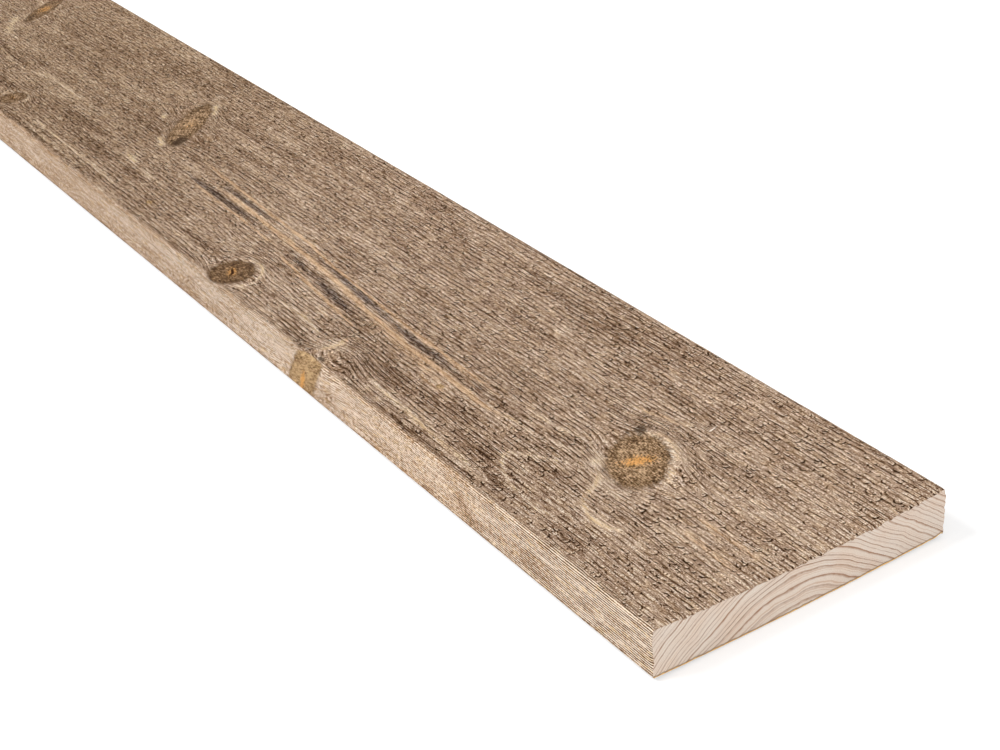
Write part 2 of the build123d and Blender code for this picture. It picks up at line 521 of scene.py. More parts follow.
def sawn_relief():
    """The skin's height over its nominal surface, in millimetres, which is below 0. The face has ribs,
    cos(TURN x count), that swell and fade with noise(back / 12, across / 4), waves of noise(back / 15,
    across / 3.4), and torn pits where noise(back / 3.4, across / 1.7) is highest, more of them in the dark
    patches. A knot is harder, so it is smoother. The edges and the back are cut finer."""
    swell = 0.65 + 0.35 * rolling(back / 12.0, across / 4.0, 21)
    waves = 0.05 * rolling(back / 15.0, across / 3.4, 22)
    torn = rolling(back / 3.4, across / 1.7, 23)
    wide_torn = rolling(back / 5.5, across / 2.6, 24)
    pits = smooth_step(0.52, 0.95, torn) * pit_depth + smooth_step(0.62, 0.95, wide_torn) * wide_pit_depth
    fuzz = fuzz_height * rolling(back / 2.9, across / 1.5, 25) * dark
    knot = smooth_step(1.08, 0.92, reach)
    face = waves - rib_height * swell * np.cos(TURN * ribs) + fuzz - pits * (0.7 + 0.9 * dark)
    face = face * (1.0 - 0.8 * knot) - knot_sink * knot + pale_rise * pale * (1.0 - knot)
    face = face - bark_depth * bark - crack_depth * crack * knot
    # The fibre that parts round a knot stands a little proud
    face = face + 0.03 * np.exp(-((reach - 1.12) / 0.12) ** 2)
    side = 0.035 * rolling(back / 34.0, around / 1.15, 26) + 0.03 * rolling(back / 9.0, around / 2.2, 27)
    side = side - 0.16 * smooth_step(0.72, 0.97, rolling(back / 4.0, around / 1.9, 28)) - 0.04 * knot
    under = 0.07 * rolling(back / 18.0, around / 4.2, 29)
    under = under - 0.12 * smooth_step(0.7, 0.95, rolling(back / 7.0, around / 5.0, 30))
    relief = np.where(on_face, face, np.where(on_edge, side, under))
    # The arrises are knocked and ragged
    arris = np.exp(-(around / arris_reach) ** 2) + np.exp(-((around - far_arris) / arris_reach) ** 2)
    ragged = ragged_depth * smooth_step(0.25, 0.95, rolling(back / 3.4, over / 60.0, 31))
    ragged = ragged + 0.16 * smooth_step(0.0, 1.0, rolling(back / 17.0, over / 60.0, 32))
    relief = relief - arris * ragged
    # The blade chipped the fibres' ends
    from_end = np.minimum(back, length - back)
    chips = chip_depth * smooth_step(0.1, 0.9, rolling(across / 1.7, 0.0 * back, 33))
    chips = chips + 0.35 * smooth_step(0.2, 0.9, rolling(across / 0.8, 0.0 * back, 34))
    relief = relief - chips * np.exp(-(from_end / chip_reach) ** 2) * np.where(on_back, 0.2, 1.0)
    return np.minimum(relief - skin_depth, -0.004)


relief = sawn_relief()
skin = np.stack([
    0.5 * length - back,
    over - half_width + loop[:, 2] * relief,
    rise + loop[:, 3] * relief,
], axis=-1)


def outward_normals(points):
    """The unit normal at each point of the whole skin: the cross product of the steps round it and along
    it."""
    along = np.gradient(points, axis=0)
    round_it = np.roll(points, -1, axis=1) - np.roll(points, 1, axis=1)
    normal = np.cross(along, round_it)
    return normal / np.linalg.norm(normal, axis=-1, keepdims=True)


skin_normal = outward_normals(skin)
# On the face the normals have to point up
if skin_normal[len(rows) // 2, near_arris, 2] < 0.0:
    skin_normal = -skin_normal


def make_piece(name, points, faces, normals, values, materials):
    """Makes one mesh object from arrays: points in millimetres, faces as rows of three or four corners, and
    values by attribute."""
    mesh = bpy.data.meshes.new(name)
    mesh.vertices.add(len(points))
    mesh.vertices.foreach_set("co", (points * MM).astype(np.float32).ravel())
    corners = faces.shape[1]
    mesh.loops.add(faces.size)
    mesh.loops.foreach_set("vertex_index", faces.astype(np.int32).ravel())
    mesh.polygons.add(len(faces))
    mesh.polygons.foreach_set("loop_start", np.arange(0, faces.size, corners, dtype=np.int32))
    for material in materials:
        mesh.materials.append(material)
    mesh.update(calc_edges=True)
    mesh.validate()
    for key, value in values.items():
        if value.ndim == 2:
            field = mesh.attributes.new(key, "FLOAT_VECTOR", "POINT")
            field.data.foreach_set("vector", value.astype(np.float32).ravel())
        else:
            field = mesh.attributes.new(key, "FLOAT", "POINT")
            field.data.foreach_set("value", value.astype(np.float32).ravel())
    if normals is not None:
        mesh.normals_split_custom_set_from_vertices(normals)
    piece = bpy.data.objects.new(name, mesh)
    bpy.context.scene.collection.objects.link(piece)
    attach(piece, "root")
    return piece


def linear(code):
    """An sRGB hex colour as linear red, green, blue and alpha: ((c + 0.055) / 1.055)^2.4, or c / 12.92
    where c is below 0.04045."""
    parts = [int(code[i:i + 2], 16) / 255.0 for i in (1, 3, 5)]
    return tuple(c / 12.92 if c <= 0.04045 else ((c + 0.055) / 1.055) ** 2.4 for c in parts) + (1.0,)


def add(tree, kind, feeds, out=0, stops=None, **settings):
    """Adds one shader node: settings are its properties, feeds its inputs, as values or sockets, by name or
    in their order, and stops a ramp's places and colours. A MapRange's order is its value, the two bounds
    that come in, and the two that go out. Returns the output called out, or the node itself where out is
    None."""
    made = tree.nodes.new("ShaderNode" + kind)
    for key, value in settings.items():
        setattr(made, key, value)
    for key, value in feeds.items() if isinstance(feeds, dict) else enumerate(feeds):
        if isinstance(value, bpy.types.NodeSocket):
            tree.links.new(value, made.inputs[key])
        else:
            made.inputs[key].default_value = value
    if stops:
        bar = made.color_ramp.elements
        while len(bar) < len(stops):
            bar.new(0.5)
        for element, (place, code) in zip(bar, stops):
            element.position = place
            element.color = linear(code)
    return made if out is None else made.outputs[out]


def blank_material(name):
    """A material with only its Principled shader and output, ready for its nodes."""
    material = bpy.data.materials.new(name)
    material.use_nodes = True
    tree = material.node_tree
    tree.nodes.clear()
    shader = tree.nodes.new("ShaderNodeBsdfPrincipled")
    output = tree.nodes.new("ShaderNodeOutputMaterial")
    tree.links.new(shader.outputs["BSDF"], output.inputs["Surface"])
    return material, tree, shader


def finish_shader(tree, shader, colour, roughness, gloss, height=None, strength=1.0):
    """Feeds a shader its colour, its roughness and gloss, and its relief, whose height is in millimetres."""
    tree.links.new(colour, shader.inputs["Base Color"])
    shader.inputs["Roughness"].default_value = roughness
    shader.inputs["Specular IOR Level"].default_value = gloss
    if height is not None:
        bump = add(tree, "Bump", {"Height": height, "Distance": MM, "Strength": strength}, "Normal")
        tree.links.new(bump, shader.inputs["Normal"])


# Settings that many nodes share: a step with soft ends, and a blend of colours
SOFT = dict(interpolation_type="SMOOTHSTEP")
COLOURS = dict(data_type="RGBA")


def carried(tree, *names):
    """The three values of each vector that the skin carries under these names."""
    vectors = [add(tree, "Attribute", {}, "Vector", attribute_name=name) for name in names]
    return [add(tree, "SeparateXYZ", (vector,), None).outputs for vector in vectors]


def streaks(tree, grain, along, beside, low, high, detail=2.0, shift=0.0):
    """Fibre: noise(back / along + shift, across / beside), in millimetres, spread from low to high."""
    place = add(tree, "Mapping", {"Vector": grain, "Location": (shift, 2.3 * shift, 0.0),
                                  "Scale": (1.0 / along, 1.0 / beside, 1.0)})
    noise = add(tree, "TexNoise", {"Vector": place, "Scale": 1.0, "Detail": detail, "Roughness": 0.55},
                noise_dimensions="2D")
    return add(tree, "MapRange", (noise, 0.3, 0.7, low, high))


def total(tree, parts, more=0.0):
    """The sum of sockets, each times its own share, and a constant more."""
    result = more
    for socket, share in parts:
        result = add(tree, "Math", (socket, share, result), operation="MULTIPLY_ADD")
    return result


def painted(tree, colour, second, value, low, high, most=1.0, way="MIX"):
    """Lays a second colour over the first: none where value is at low, up to most where it is at high."""
    share = add(tree, "MapRange", (value, low, high, 0.0, most), **SOFT)
    return add(tree, "Mix", {"Factor": share, "A": colour, "B": second}, "Result", blend_type=way, **COLOURS)


# The marks that the saw tore, each a short bowed stroke in a cell of its own: cell length, cell width, half
# length, bow, half thickness, share of the cells that have one, darkness. The real strokes are 0.2 to 0.4 mm
# thick, and are drawn about twice that, so that they show in the render.
torn_marks = (
    (6.4, 4.4, 1.75, 0.36, 0.40, 0.55, 1.0),
    (3.5, 2.4, 0.95, 0.62, 0.32, 0.48, 0.9),
)


def saw_torn_strokes(tree, grain):
    """Torn strokes, and beside each the fibre it lifted, made pale by a painted highlight. In a stroke's own
    millimetres, turned by an angle of its own, it is where |v - bow u^2| is less than its half thickness and
    |u| less than its half length."""
    strokes, lips_and_highlights = 0.0, 0.0
    for cell, broad, half, bow, thick, share, strength in torn_marks:
        place = add(tree, "Mapping", {"Vector": grain, "Scale": (1.0 / cell, 1.0 / broad, 0.0)})
        cells = add(tree, "TexVoronoi", {"Vector": place, "Scale": 1.0}, None, voronoi_dimensions="2D")
        offset = add(tree, "VectorMath", (place, cells.outputs["Position"]), operation="SUBTRACT")
        offset = add(tree, "VectorMath", (offset, (cell, broad, 0.0)), operation="MULTIPLY")
        luck = add(tree, "SeparateColor", (cells.outputs["Color"],), None)
        angle = add(tree, "MapRange", (luck.outputs[0], 0.0, 1.0, -0.5, 2.1))
        turned = add(tree, "VectorRotate", {"Vector": offset, "Angle": angle}, rotation_type="Z_AXIS")
        u, v = add(tree, "SeparateXYZ", (turned,), None).outputs[:2]
        square = add(tree, "Math", (u, u), operation="MULTIPLY")
        bowed = add(tree, "Math", (square, -bow, v), operation="MULTIPLY_ADD")
        aside = add(tree, "Math", (bowed, 2.1 * thick), operation="SUBTRACT")
        chosen = add(tree, "MapRange", (luck.outputs[1], 1.0 - share, 1.2 - share, 0.0, strength))
        # Each distance turns into a share from 1, within its first bound, to 0, beyond its second
        run, body, lip_and_highlight = (
            add(tree, "MapRange", (add(tree, "Math", (distance,), operation="ABSOLUTE"), inner, outer,
                                   1.0, 0.0), **SOFT)
            for distance, inner, outer in (
                (u, 0.6 * half, half), (bowed, 0.5 * thick, 1.5 * thick), (aside, 0.3 * thick, 1.2 * thick)))
        run = add(tree, "Math", (run, chosen), operation="MULTIPLY")
        body = add(tree, "Math", (body, run), operation="MULTIPLY")
        lip_and_highlight = add(tree, "Math", (lip_and_highlight, run), operation="MULTIPLY")
        strokes = add(tree, "Math", (strokes, body), operation="MAXIMUM")
        lips_and_highlights = add(tree, "Math", (lips_and_highlights, lip_and_highlight), operation="MAXIMUM")
    return strokes, lips_and_highlights


def knot_wood(tree, reach, tone, heart, crack):
    """A knot sawn through: end grain of a branch, darker and oilier than the board. It gives the eye an
    olive or ochre disc with a fine speckle, faint rings, an orange heart in flecks, a dark rim and
    sometimes a crack."""
    place = add(tree, "TexCoord", {}, "Object")
    speck = add(tree, "TexNoise", {"Vector": place, "Scale": 1400.0, "Detail": 2.0, "Roughness": 0.65})
    blotch = add(tree, "TexNoise", {"Vector": place, "Scale": 240.0, "Detail": 2.0})
    # Two hatchings, one of the saw's ribs and one across them
    hatch, cross = (
        add(tree, "TexNoise", {"Scale": 1.0, "Detail": 2.0, "Vector": add(tree, "Mapping", {
            "Vector": place, "Rotation": (0.0, 0.0, math.radians(turn)), "Scale": (run, gap, gap)},
            vector_type="TEXTURE")})
        for turn, run, gap in ((0.0, 0.0024, 0.00046), (-66.0, 0.0022, 0.00052)))
    turns = total(tree, ((blotch, 18.0), (reach, 36.0)))
    turns = add(tree, "Math", (turns,), operation="SINE")
    level = total(tree, ((speck, 0.8), (hatch, 1.15), (cross, 0.55), (turns, 0.015), (reach, -0.14),
                         (blotch, 0.45), (tone, 0.4)), -1.40)
    # The darkest knots are the smoothest
    contrast = add(tree, "MapRange", (tone, -0.15, 0.15, 0.55))
    level = add(tree, "Math", (level, contrast, 0.46), operation="MULTIPLY_ADD")
    olive = add(tree, "ValToRGB", {"Fac": level}, "Color", stops=(
        (0.22, "#20140A"), (0.40, "#5C432D"), (0.54, "#917253"), (0.70, "#D6B795")))
    ochre = add(tree, "ValToRGB", {"Fac": level}, "Color", stops=(
        (0.42, "#4A331A"), (0.58, "#8E693A"), (0.74, "#B38D52"), (0.92, "#DCBE86")))
    colour = add(tree, "Mix", {"Factor": tone, "A": olive, "B": ochre}, "Result", **COLOURS)
    fleck = total(tree, ((cross, 1.5), (hatch, 1.1), (speck, 1.2), (heart, 1.0)))
    ember = add(tree, "Mix", {"Factor": speck, "A": linear("#C4701A"), "B": linear("#F4C47C")}, "Result",
                **COLOURS)
    colour = painted(tree, colour, ember, fleck, 2.36, 2.62, 0.92)
    colour = painted(tree, colour, linear("#38200F"), crack, 0.2, 0.5)
    border = total(tree, ((blotch, 0.24), (reach, 1.0)))
    colour = painted(tree, colour, linear("#46331F"), border, 1.0, 1.14, 0.4)
    border = total(tree, ((speck, 0.3), (border, 1.0)))
    here = add(tree, "MapRange", (border, 1.12, 1.38, 1.0, 0.0), **SOFT)
    return colour, here, speck


def fine_sawn_edge(tree, grain, wave, ring, specks, tufts, dark):
    """The long edges, cut finer than the face and only thinly stained. They give the eye a paler beige with
    crisp, straight dark lines, fuzzy streaks, torn specks low down, some yellow fibre, and the growth
    rings."""
    breaks = streaks(tree, grain, 12.0, 1.6, -1.0, 1.0)
    lines = total(tree, ((wave, 0.95), (breaks, 0.5), (specks, 0.25)))
    lines = add(tree, "MapRange", (lines, -0.6, 0.9, -0.42, 0.58), **SOFT)
    late = add(tree, "Math", (ring,), operation="FRACT")
    late = add(tree, "MapRange", (late, 0.6, 0.95), **SOFT)
    fuzz = streaks(tree, grain, 2.2, 0.65, -1.0, 1.0, 3.0)
    long_fibre = streaks(tree, grain, 44.0, 0.6, -1.0, 1.0)
    broad = streaks(tree, grain, 70.0, 3.6, -1.0, 1.0)
    back, _, rise = add(tree, "SeparateXYZ", (grain,), None).outputs
    front = add(tree, "MapRange", (back, 250.0, 520.0, 1.0, 0.62), **SOFT)
    # The lines are clearest by the end, and the lower half has torn the most a little way behind it
    by_end = add(tree, "MapRange", (back, 50.0, 150.0, 1.3, 0.55), **SOFT)
    by_end = total(tree, ((rise, 0.004), (by_end, 1.0)), -0.04)
    lines = add(tree, "Math", (lines, by_end), operation="MULTIPLY")
    low = add(tree, "MapRange", (rise, 8.0, 16.0, 0.5, -0.2))
    dots = total(tree, ((specks, 0.8), (tufts, 0.6), (low, 0.6), (dark, 0.55)))
    dots = add(tree, "MapRange", (dots, 0.40, 1.2), **SOFT)
    # The rounded arris faces the light, so it is darkened there with painted shade
    arris_painted_shade = add(tree, "MapRange", (rise, 18.5, 22.0, 0.0, -0.15), **SOFT)
    level = total(tree, ((lines, -1.0), (late, -0.05), (fuzz, 0.34), (specks, 0.42), (long_fibre, 0.14),
                         (broad, 0.08), (dots, -0.65), (arris_painted_shade, 1.0), (dark, -0.14)), 0.25)
    level = add(tree, "Math", (level, front), operation="MULTIPLY")
    foot = add(tree, "MapRange", (rise, 1.2, 3.4, -0.45, 0.0), **SOFT)
    level = total(tree, ((level, 1.0), (foot, 1.0), (front, 0.20)), 0.33)
    colour = add(tree, "ValToRGB", {"Fac": level}, "Color", stops=(
        (0.05, "#5C3C20"), (0.3, "#A07A54"), (0.55, "#CDAA8B"), (0.75, "#E6C9AC"), (1.0, "#FCEAD6")))
    yellow = streaks(tree, grain, 9.0, 1.3, 0.0, 1.0, 2.0, 7.0)
    colour = painted(tree, colour, linear("#FFF0BE"), yellow, 0.60, 1.0, 0.45, "MULTIPLY")
    # Further back the edge is greyer
    colour = painted(tree, colour, linear("#F0F6FF"), back, 0.0, 520.0, 1.0, "MULTIPLY")
    height = total(tree, ((lines, -0.12), (fuzz, 0.06), (long_fibre, 0.03), (specks, 0.04), (dots, -0.08)))
    return colour, height


def stained_sawn_spruce():
    """Sawn spruce under a thin grey-brown stain, rough on the face and fine on the edges. It gives the eye
    a matt, ribbed surface: pale ridges and dark furrows along the grain, dark hooks where the saw tore the
    fibre, a painted highlight on the fibre lifted beside them, tan latewood, and olive knots."""
    material, tree, shader = blank_material("stained_sawn_spruce")
    grain = add(tree, "Attribute", {}, "Vector", attribute_name="grain")
    (reach, tone, heart), (tan, dark, pale), (bark, crack, cool), (ribs, edge, rough) = carried(
        tree, "knot", "figure", "marks", "cut")
    ring = add(tree, "Attribute", {}, "Fac", attribute_name="ring")
    # Each rib of the saw is a wave with a finer one, half as long, on it
    wave, fine = (add(tree, "Math", (add(tree, "Math", (ribs, turn), operation="MULTIPLY"),),
                      operation="COSINE") for turn in (TURN, 2.0 * TURN))
    fine_here = streaks(tree, grain, 34.0, 6.0, 0.1, 1.0, 1.0, 13.0)
    fine = add(tree, "Math", (fine, fine_here), operation="MULTIPLY")
    back = add(tree, "SeparateXYZ", (grain,), "X")
    ribbed = add(tree, "MapRange", (back, 280.0, 600.0, 1.0, 0.55))
    wave, fine = (add(tree, "Math", (cut, ribbed), operation="MULTIPLY") for cut in (wave, fine))
    near_knot = add(tree, "MapRange", (reach, 1.12, 1.55, 1.0, 0.0), **SOFT)

    # The ribs break up into dashes, dark ones in the furrows and thin pale ones on the ridges, and all of it
    # into specks and tufts of torn fibre. The real specks are under 0.3 mm, and are drawn at 0.6 mm
    dash = streaks(tree, grain, 6.2, 1.1, -1.0, 1.0)
    glint = streaks(tree, grain, 9.5, 0.6, -1.0, 1.0, 2.0, 3.0)
    fibre = streaks(tree, grain, 4.0, 0.42, -1.0, 1.0, 2.0)
    long_fibre = streaks(tree, grain, 15.0, 0.85, -1.0, 1.0, 3.0, 5.0)
    specks = streaks(tree, grain, 0.9, 0.55, -1.0, 1.0, 1.0, 11.0)
    tufts = streaks(tree, grain, 2.2, 1.6, -1.0, 1.0, 2.0, 17.0)
    furrow = total(tree, ((wave, 0.32), (fine, 0.42), (dash, 0.48), (specks, 0.32), (tufts, 0.32),
                          (dark, 0.3), (near_knot, -0.1), (pale, -0.35), (tan, -0.2)))
    furrow = add(tree, "MapRange", (furrow, 0.12, 0.75), **SOFT)
    ridge = total(tree, ((wave, -0.30), (fine, -0.34), (glint, 0.64), (specks, 0.38), (pale, 0.4)))
    ridge = add(tree, "MapRange", (ridge, 0.25, 0.90), **SOFT)
    # The board took up more stain in some bands and stretches than in others
    band = streaks(tree, grain, 150.0, 6.5, -1.0, 1.0, 3.0)
    stretch = streaks(tree, grain, 40.0, 14.0, -1.0, 1.0, 3.0)

    strokes, lips_and_highlights = saw_torn_strokes(tree, grain)
    outside = add(tree, "MapRange", (reach, 0.95, 1.15), **SOFT)
    torn = total(tree, ((dark, 0.5), (pale, -0.5), (near_knot, -0.2), (tan, -0.3), (stretch, -0.35)), 0.72)
    torn = add(tree, "Math", (torn, rough), operation="MULTIPLY")
    torn = add(tree, "Math", (torn, outside), operation="MULTIPLY", use_clamp=True)
    strokes = add(tree, "Math", (strokes, torn), operation="MULTIPLY")
    lips_and_highlights = add(tree, "Math", (lips_and_highlights, torn), operation="MULTIPLY")

    late = add(tree, "Math", (ring,), operation="FRACT")
    late = add(tree, "MapRange", (late, 0.55, 0.9), **SOFT)
    # The lifted fibre beside each torn stroke is lightened here with a painted highlight
    level = total(tree, ((furrow, -0.47), (ridge, 0.42), (fibre, 0.17), (long_fibre, 0.08), (specks, 0.23),
                         (tufts, 0.10), (band, 0.08), (stretch, 0.07), (late, 0.05), (strokes, -0.82),
                         (lips_and_highlights, 0.30), (dark, -0.15), (pale, 0.24)), 0.545)
    colour = add(tree, "ValToRGB", {"Fac": level}, "Color", stops=(
        (0.0, "#33200F"), (0.22, "#70513A"), (0.5, "#A68B74"), (0.75, "#CFB49B"), (1.0, "#F8E8D4")))

    # Slight drifts of hue: some fibre greyer and cooler, some warmer
    drift = streaks(tree, grain, 9.0, 2.4, 0.0, 1.0, 1.0, 9.0)
    colour = painted(tree, colour, linear("#CCC4C6"), drift, 0.55, 0.95, 0.30, "MULTIPLY")
    colour = painted(tree, colour, linear("#FFF3D2"), drift, 0.45, 0.05, 0.25, "MULTIPLY")
    colour = painted(tree, colour, linear("#B0B4C4"), cool, 0.30, 0.80, 0.85, "MULTIPLY")

    latewood = add(tree, "ValToRGB", {"Fac": level}, "Color", stops=(
        (0.1, "#86613F"), (0.5, "#C29A74"), (0.8, "#E2C29F")))
    tan = total(tree, ((long_fibre, 0.22), (fibre, 0.16), (glint, 0.10), (tan, 1.0)))
    colour = painted(tree, colour, latewood, tan, 0.08, 0.66, 0.85)
    # The palest fibre is bare and creamy
    cream = total(tree, ((fibre, 0.20), (long_fibre, 0.24), (specks, 0.12), (pale, 1.0)))
    colour = painted(tree, colour, linear("#DCC08C"), cream, 0.42, 1.10, 0.7)
    # Further back the stain is a little more olive
    colour = painted(tree, colour, linear("#F9F9F3"), back, 300.0, 700.0, 1.0, "MULTIPLY")

    edge_colour, edge_height = fine_sawn_edge(tree, grain, wave, ring, specks, tufts, dark)
    border = total(tree, ((long_fibre, 0.30), (dash, 0.22), (edge, 1.0)))
    border = add(tree, "MapRange", (border, 0.25, 0.85), **SOFT)
    colour = add(tree, "Mix", {"Factor": border, "A": colour, "B": edge_colour}, "Result", **COLOURS)

    knot_colour, knot_here, speck = knot_wood(tree, reach, tone, heart, crack)
    colour = add(tree, "Mix", {"Factor": knot_here, "A": colour, "B": knot_colour}, "Result", **COLOURS)
    scab = total(tree, ((furrow, 0.30), (fibre, 0.25), (bark, 1.0)))
    colour = painted(tree, colour, linear("#3A2A1C"), scab, 0.45, 0.95, 0.85)

    # The height in millimetres: ridges, furrows and fibre, less the torn strokes, plus their lips
    height = total(tree, ((furrow, -0.13), (ridge, 0.10), (fibre, 0.05), (long_fibre, 0.05)))
    calm = add(tree, "Math", (outside, 0.8, 0.2), operation="MULTIPLY_ADD")
    height = add(tree, "Math", (height, calm), operation="MULTIPLY")
    height = add(tree, "Mix", {0: border, 2: height, 3: edge_height}, 0)
    height = add(tree, "Math", (height, rough), operation="MULTIPLY")
    height = total(tree, ((height, 1.0), (strokes, -0.20), (lips_and_highlights, 0.07), (speck, 0.10)))
    finish_shader(tree, shader, colour, 0.9, 0.1, height)
    return material


def bare_spruce_end_grain():
    """Bare spruce cut square across with a fine blade. It gives the eye a pale pinkish cream, ring after
    ring: each darkens slowly, ends in a thin tan line, and starts again pale. The stain has crept in at the
    rim."""
    material, tree, shader = blank_material("bare_spruce_end_grain")
    place = add(tree, "TexCoord", {}, "Object")
    waver = add(tree, "TexNoise", {"Vector": place, "Scale": 420.0, "Detail": 2.0})
    cloud = add(tree, "TexNoise", {"Vector": place, "Scale": 70.0, "Detail": 3.0})
    # Cut-off fibres are 0.03 mm across; the speckle is drawn at 0.4 mm so that it shows
    pores = add(tree, "TexNoise", {"Vector": place, "Scale": 2400.0, "Detail": 2.0, "Roughness": 0.7})
    ring = total(tree, ((waver, 0.12), (add(tree, "Attribute", {}, "Fac", attribute_name="ring"), 1.0)))
    phase = add(tree, "Math", (ring,), operation="FRACT")
    # Some years' latewood is darker than others', and faint lines lie between them
    year = add(tree, "TexWhiteNoise", {"W": add(tree, "Math", (ring,), operation="FLOOR")},
               noise_dimensions="1D")
    darkens = add(tree, "MapRange", (phase, 0.62, 0.90), **SOFT)
    ends = add(tree, "MapRange", (phase, 0.93, 1.0, 1.0, 0.0), **SOFT)
    late = add(tree, "Math", (darkens, ends), operation="MULTIPLY")
    late = add(tree, "Math", (late, total(tree, ((year, 0.55), (waver, 0.9)))), operation="MULTIPLY")
    between = add(tree, "TexNoise", {"W": ring, "Scale": 5.5, "Detail": 1.0}, noise_dimensions="1D")
    colour = painted(tree, linear("#F6E8DA"), linear("#D9B79C"), between, 0.52, 0.72, 0.65)
    colour = add(tree, "Mix", {"Factor": late, "A": colour, "B": linear("#A87F63")}, "Result", **COLOURS)
    colour = painted(tree, colour, linear("#FBEFE6"), cloud, 0.35, 0.65, 0.5, "MULTIPLY")
    colour = painted(tree, colour, linear("#B89A82"), pores, 0.64, 0.36, 0.24)
    # At its foot the stain has left a brown line, and below that a thin orange one
    foot = total(tree, ((waver, 1.1), (add(tree, "Attribute", {}, "Fac", attribute_name="foot"), 1.0)))
    colour = painted(tree, colour, linear("#8A6840"), foot, 1.7, 1.3, 0.75)
    colour = painted(tree, colour, linear("#FFD08A"), foot, 1.0, 0.8)
    # Score lines of the blade, 0.7 mm apart and at a slant
    scored = add(tree, "Mapping", {"Vector": place, "Rotation": (math.radians(24.0), 0.0, 0.0),
                                   "Scale": (1.0, 0.011, 0.0007)}, vector_type="TEXTURE")
    scores = add(tree, "TexNoise", {"Vector": scored, "Scale": 1.0, "Detail": 2.0})
    height = total(tree, ((late, 0.06), (scores, 0.05), (pores, 0.08)))
    finish_shader(tree, shader, colour, 0.8, 0.3, height, 0.7)
    return material


sawn = stained_sawn_spruce()
end_wood = bare_spruce_end_grain()

# The back is stained too, but cut finer and torn less
rough = np.where(on_back, 0.55, 1.0)
fields = {
    "grain": np.stack([back, across, rise], axis=-1),
    "knot": np.stack([reach, tone, heart], axis=-1),
    "figure": np.stack([tan, dark, pale], axis=-1),
    "marks": np.stack([bark, crack, cool], axis=-1),
    "cut": np.stack([ribs, edge, rough], axis=-1),
    "ring": rings,
}


def skin_pieces():
    """The skin in lengths, each a sleeve of the whole section, that share their border rows and normals."""
    cuts = np.linspace(0, len(rows) - 1, skin_lengths + 1).round().astype(int)
    for number, (first, last) in enumerate(zip(cuts, cuts[1:]), 1):
        count = last - first + 1
        part = slice(first, last + 1)
        index = np.arange(count * columns).reshape(count, columns)
        beside = np.roll(index, -1, axis=1)
        faces = np.stack([index[:-1], beside[:-1], beside[1:], index[1:]], axis=-1).reshape(-1, 4)
        values = {key: value[part].reshape(count * columns, -1).squeeze() for key, value in fields.items()}
        piece = make_piece(f"board_length_{number}", skin[part].reshape(-1, 3), faces,
                           skin_normal[part].reshape(-1, 3), values, (sawn,))
        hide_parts("board")


skin_pieces()


def end_plate(name, row, outward):
    """A sawn end: S(p, q) = (1 - q) B(p) + q T(p) + (1 - p) L(q) + p R(q) less the bilinear blend of its
    four corners, where B, T, L and R are the skin's own last row, so the plate closes the sleeve."""
    ring_row = np.vstack([skin[row], skin[row][:1]])
    place = loop_girth
    half_arc = 0.5 * arris_parts

    def border(start, end, count):
        stops = np.interp(np.linspace(start, end, count), np.arange(columns + 1), place)
        return np.stack([np.interp(stops, place, ring_row[:, axis]) for axis in range(3)], axis=-1)

    first_face = near_arris - 1 - half_arc
    last_face = int(np.flatnonzero(loop_kind == "face")[-1]) + 1 + half_arc
    low_far = int(np.flatnonzero(loop_kind == "back")[0]) - 1 - half_arc
    low_near = half_arc
    wide, tall = end_grid
    top = border(first_face, last_face, wide)
    near = border(low_near, first_face, tall)
    far = border(last_face, low_far, tall)[::-1]
    # The lower side runs from its near corner over the loop's join to the far one
    low_start, low_stop = np.interp((low_far, low_near), np.arange(columns + 1), place)
    stops = np.linspace(low_start, place[-1] + low_stop, wide)[::-1]
    again = slice(1, arris_parts + 3)
    tail = np.r_[place, place[-1] + place[again]]
    tail_row = np.vstack([ring_row, ring_row[again]])
    under = np.stack([np.interp(stops, tail, tail_row[:, axis]) for axis in range(3)], axis=-1)
    p = np.linspace(0.0, 1.0, wide)[:, None, None]
    q = np.linspace(0.0, 1.0, tall)[None, :, None]
    grid = (1 - q) * under[:, None] + q * top[:, None] + (1 - p) * near[None] + p * far[None]
    corners = (1 - p) * (1 - q) * under[0] + p * (1 - q) * under[-1] + (1 - p) * q * top[0] + p * q * top[-1]
    grid = grid - corners
    inner = np.minimum(np.minimum(p, 1 - p) * width, np.minimum(q, 1 - q) * edge_thickness)[..., 0]
    y, z = grid[..., 1], grid[..., 2]
    sawing = 0.05 + 0.04 * rolling(y / 7.0 + z / 3.0, z / 2.6 - y / 16.0, 41 + row % 7)
    grid[..., 0] = grid[..., 0] - outward * sawing * smooth_step(0.0, 0.8, inner)
    points = grid.reshape(-1, 3)
    index = np.arange(wide * tall).reshape(wide, tall)
    quads = [index[:-1, :-1], index[1:, :-1], index[1:, 1:], index[:-1, 1:]]
    faces = np.stack(quads if outward > 0 else quads[::-1], axis=-1).reshape(-1, 4)
    over_here = (y + half_width).ravel()
    values = {
        "ring": ring_count(np.full(over_here.shape, rows[row]), over_here, z.ravel()),
        "foot": (z - z[:, :1]).ravel(),
    }
    piece = make_piece(name, points, faces, None, values, (end_wood,))
    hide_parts("board")
    return piece


end_plate("sawn_end_front", 0, 1.0)
end_plate("sawn_end_back", len(rows) - 1, -1.0)


fibre_count = 5200
# How far the fibres keep from the long edges and the ends, and below the top of the arrises
fibre_margins = (3.0, 8.0)
fibre_headroom = 0.45
# A splinter that the stain missed: where its root is, how far it runs back, its slant across and its lift
white_splinter = dict(back=92.1, over=103.0, run=0.7, slant=7.0, thick=0.45, lift=0.8)


